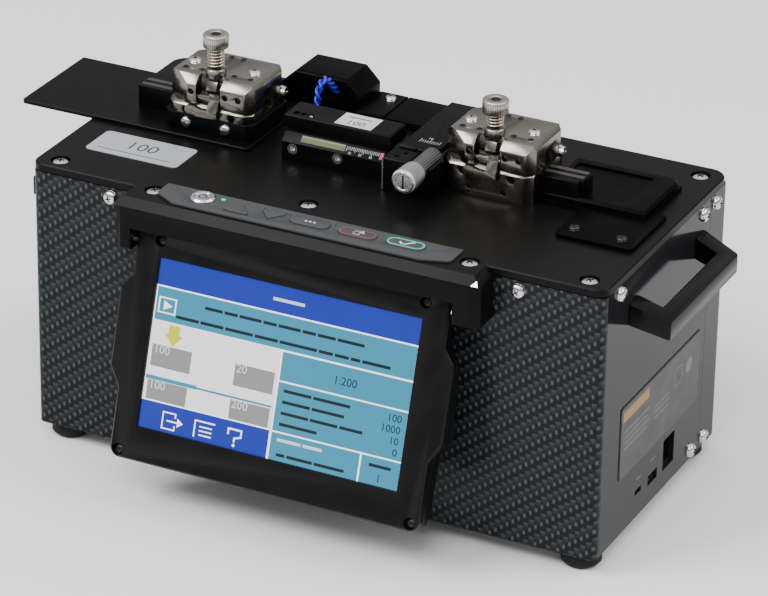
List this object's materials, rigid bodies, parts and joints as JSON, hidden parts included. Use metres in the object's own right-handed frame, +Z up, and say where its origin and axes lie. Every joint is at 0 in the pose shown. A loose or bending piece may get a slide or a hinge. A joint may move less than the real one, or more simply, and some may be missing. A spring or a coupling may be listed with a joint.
{
  "type": "fibre cleaver",
  "caption": "Bench-top optical fibre cleaver: box housing with a tilting display in front and two hinged fibre clamps, a micrometer backstop and a ruled stop on its deck.",
  "frame": {"origin": "middle of the overall footprint, on the desk plane under the rubber feet", "axes": "+X to the operator's right along the fibre, +Y to the back, +Z up"},
  "size_m": [0.2828, 0.1508, 0.1575],
  "materials": {
    "panel_print": "semi-gloss carbon-weave print",
    "side_paint": "gloss dark grey",
    "deck_black": "gloss black with a fine grain",
    "black_anodised": "black anodised, satin",
    "core_alloy": "mill finish, enclosed",
    "nickel": "satin nickel plate",
    "steel": "satin",
    "spring_steel": "bright wire",
    "black_screw": "black oxide",
    "rubber": "matt",
    "handle_black": "satin black",
    "plastic_black": "moulded, satin",
    "bezel_plastic": "moulded, satin",
    "pad_grey": "matt membrane",
    "key_grey": "matt membrane",
    "key_red": "printed outline",
    "key_green": "printed outline",
    "lcd": "display, lit",
    "led_green": "clear lens",
    "label_white": "printed film",
    "wire_blue": "enamelled",
    "port_black": "moulded"
  },
  "bodies": {
    "base": {"chassis_core": "core_alloy", "front_panel": "panel_print", "side_panel_left": "side_paint", "side_panel_right": "side_paint", "rear_cover": "side_paint", "deck_plate": "deck_black", "rubber_feet": "rubber", "handle_left": "handle_black", "handle_right": "handle_black", "panel_screws": "steel", "deck_screws": "steel", "nameplate": "label_white", "rating_label": "label_white", "dc_inlet": "port_black", "usb_port": "steel", "micro_usb_port": "steel", "monitor_bracket": "black_anodised", "monitor_hinge_pins": "steel", "keypad_plate": "pad_grey", "power_ring": "steel", "status_led": "led_green", "extension_plate": "black_anodised", "left_clamp_base": "black_anodised", "left_clamp_block": "nickel", "right_clamp_block": "nickel", "clamp_hinge_pins": "steel", "left_fibre_guide": "black_anodised", "right_fibre_guide": "black_anodised", "moulded_cover": "plastic_black", "ruler_rail": "black_anodised", "rail_screws": "steel", "blade_cover": "plastic_black", "flat_cover": "plastic_black", "blue_wires": "wire_blue", "stage_screws": "steel", "micrometer_bracket": "black_anodised", "micrometer_barrel": "steel"},
    "monitor": {"monitor_bezel": "bezel_plastic", "lcd_panel": "lcd", "monitor_shell": "bezel_plastic", "monitor_screws": "black_screw"},
    "left_lid": {"left_clamp_lid": "nickel", "left_lid_screws": "steel", "left_knob_spring": "spring_steel"},
    "left_latch_lever": {"left_latch": "nickel"},
    "left_knob_head": {"left_knob": "steel"},
    "right_lid": {"right_clamp_lid": "nickel", "right_lid_screws": "steel", "right_knob_spring": "spring_steel"},
    "right_latch_lever": {"right_latch": "nickel"},
    "right_knob_head": {"right_knob": "steel"},
    "thimble": {"micrometer_thimble": "steel"},
    "backstop": {"backstop_spindle": "steel"},
    "length_stop": {"stop_bar": "black_anodised"},
    "power_button_cap": {"power_button": "key_grey"},
    "key_up_cap": {"key_up": "key_grey"},
    "key_down_cap": {"key_down": "key_grey"},
    "key_fn_cap": {"key_fn": "key_grey"},
    "key_reset_cap": {"key_reset": "key_red"},
    "key_set_cap": {"key_set": "key_green"}
  },
  "joints": [
    {"name": "monitor_tilt", "type": "hinge", "parent": "base", "child": "monitor", "pos_m": [0.0051, -0.04934, 0.0989], "axis": [-1, 0, 0], "range_deg": [-8, 60]},
    {"name": "left_lid_hinge", "type": "hinge", "parent": "base", "child": "left_lid", "pos_m": [-0.0622, 0.03456, 0.13], "axis": [-1, 0, 0], "range_deg": [0, 92]},
    {"name": "left_latch_pivot", "type": "hinge", "parent": "left_lid", "child": "left_latch_lever", "pos_m": [-0.0622, 0.01056, 0.1323], "axis": [-1, 0, 0], "range_deg": [0, 32], "stiffness_Nm_per_rad": 0.02, "springref_deg": -17.19},
    {"name": "left_knob_turn", "type": "hinge", "parent": "left_lid", "child": "left_knob_head", "pos_m": [-0.0622, 0.01556, 0.1405], "axis": [0, 0, 1], "range_deg": [-360, 360]},
    {"name": "right_lid_hinge", "type": "hinge", "parent": "base", "child": "right_lid", "pos_m": [0.055, 0.03456, 0.13], "axis": [-1, 0, 0], "range_deg": [0, 92]},
    {"name": "right_latch_pivot", "type": "hinge", "parent": "right_lid", "child": "right_latch_lever", "pos_m": [0.055, 0.01056, 0.1323], "axis": [-1, 0, 0], "range_deg": [0, 32], "stiffness_Nm_per_rad": 0.02, "springref_deg": -17.19},
    {"name": "right_knob_turn", "type": "hinge", "parent": "right_lid", "child": "right_knob_head", "pos_m": [0.055, 0.01556, 0.1405], "axis": [0, 0, 1], "range_deg": [-360, 360]},
    {"name": "thimble_turn", "type": "hinge", "parent": "base", "child": "thimble", "pos_m": [0.0326, -0.01084, 0.1285], "axis": [0, 1, 0], "range_deg": [-720, 720]},
    {"name": "backstop_slide", "type": "slide", "parent": "base", "child": "backstop", "axis": [0, 1, 0], "range_m": [-0.001, 0.001]},
    {"name": "length_stop_slide", "type": "slide", "parent": "base", "child": "length_stop", "axis": [1, 0, 0], "range_m": [-0.01, 0.002]},
    {"name": "power_button_press", "type": "slide", "parent": "base", "child": "power_button_cap", "axis": [0, 0, -1], "range_m": [0, 0.0005], "stiffness_N_per_m": 800, "springref_m": -0.0006},
    {"name": "key_up_press", "type": "slide", "parent": "base", "child": "key_up_cap", "axis": [0, 0, -1], "range_m": [0, 0.0005], "stiffness_N_per_m": 800, "springref_m": -0.0006},
    {"name": "key_down_press", "type": "slide", "parent": "base", "child": "key_down_cap", "axis": [0, 0, -1], "range_m": [0, 0.0005], "stiffness_N_per_m": 800, "springref_m": -0.0006},
    {"name": "key_fn_press", "type": "slide", "parent": "base", "child": "key_fn_cap", "axis": [0, 0, -1], "range_m": [0, 0.0005], "stiffness_N_per_m": 800, "springref_m": -0.0006},
    {"name": "key_reset_press", "type": "slide", "parent": "base", "child": "key_reset_cap", "axis": [0, 0, -1], "range_m": [0, 0.0005], "stiffness_N_per_m": 800, "springref_m": -0.0006},
    {"name": "key_set_press", "type": "slide", "parent": "base", "child": "key_set_cap", "axis": [0, 0, -1], "range_m": [0, 0.0005], "stiffness_N_per_m": 800, "springref_m": -0.0006}
  ],
  "couplings": [
    {"joint": "thimble_turn", "follows": "backstop_slide", "rad_per_m": 12566}
  ]
}
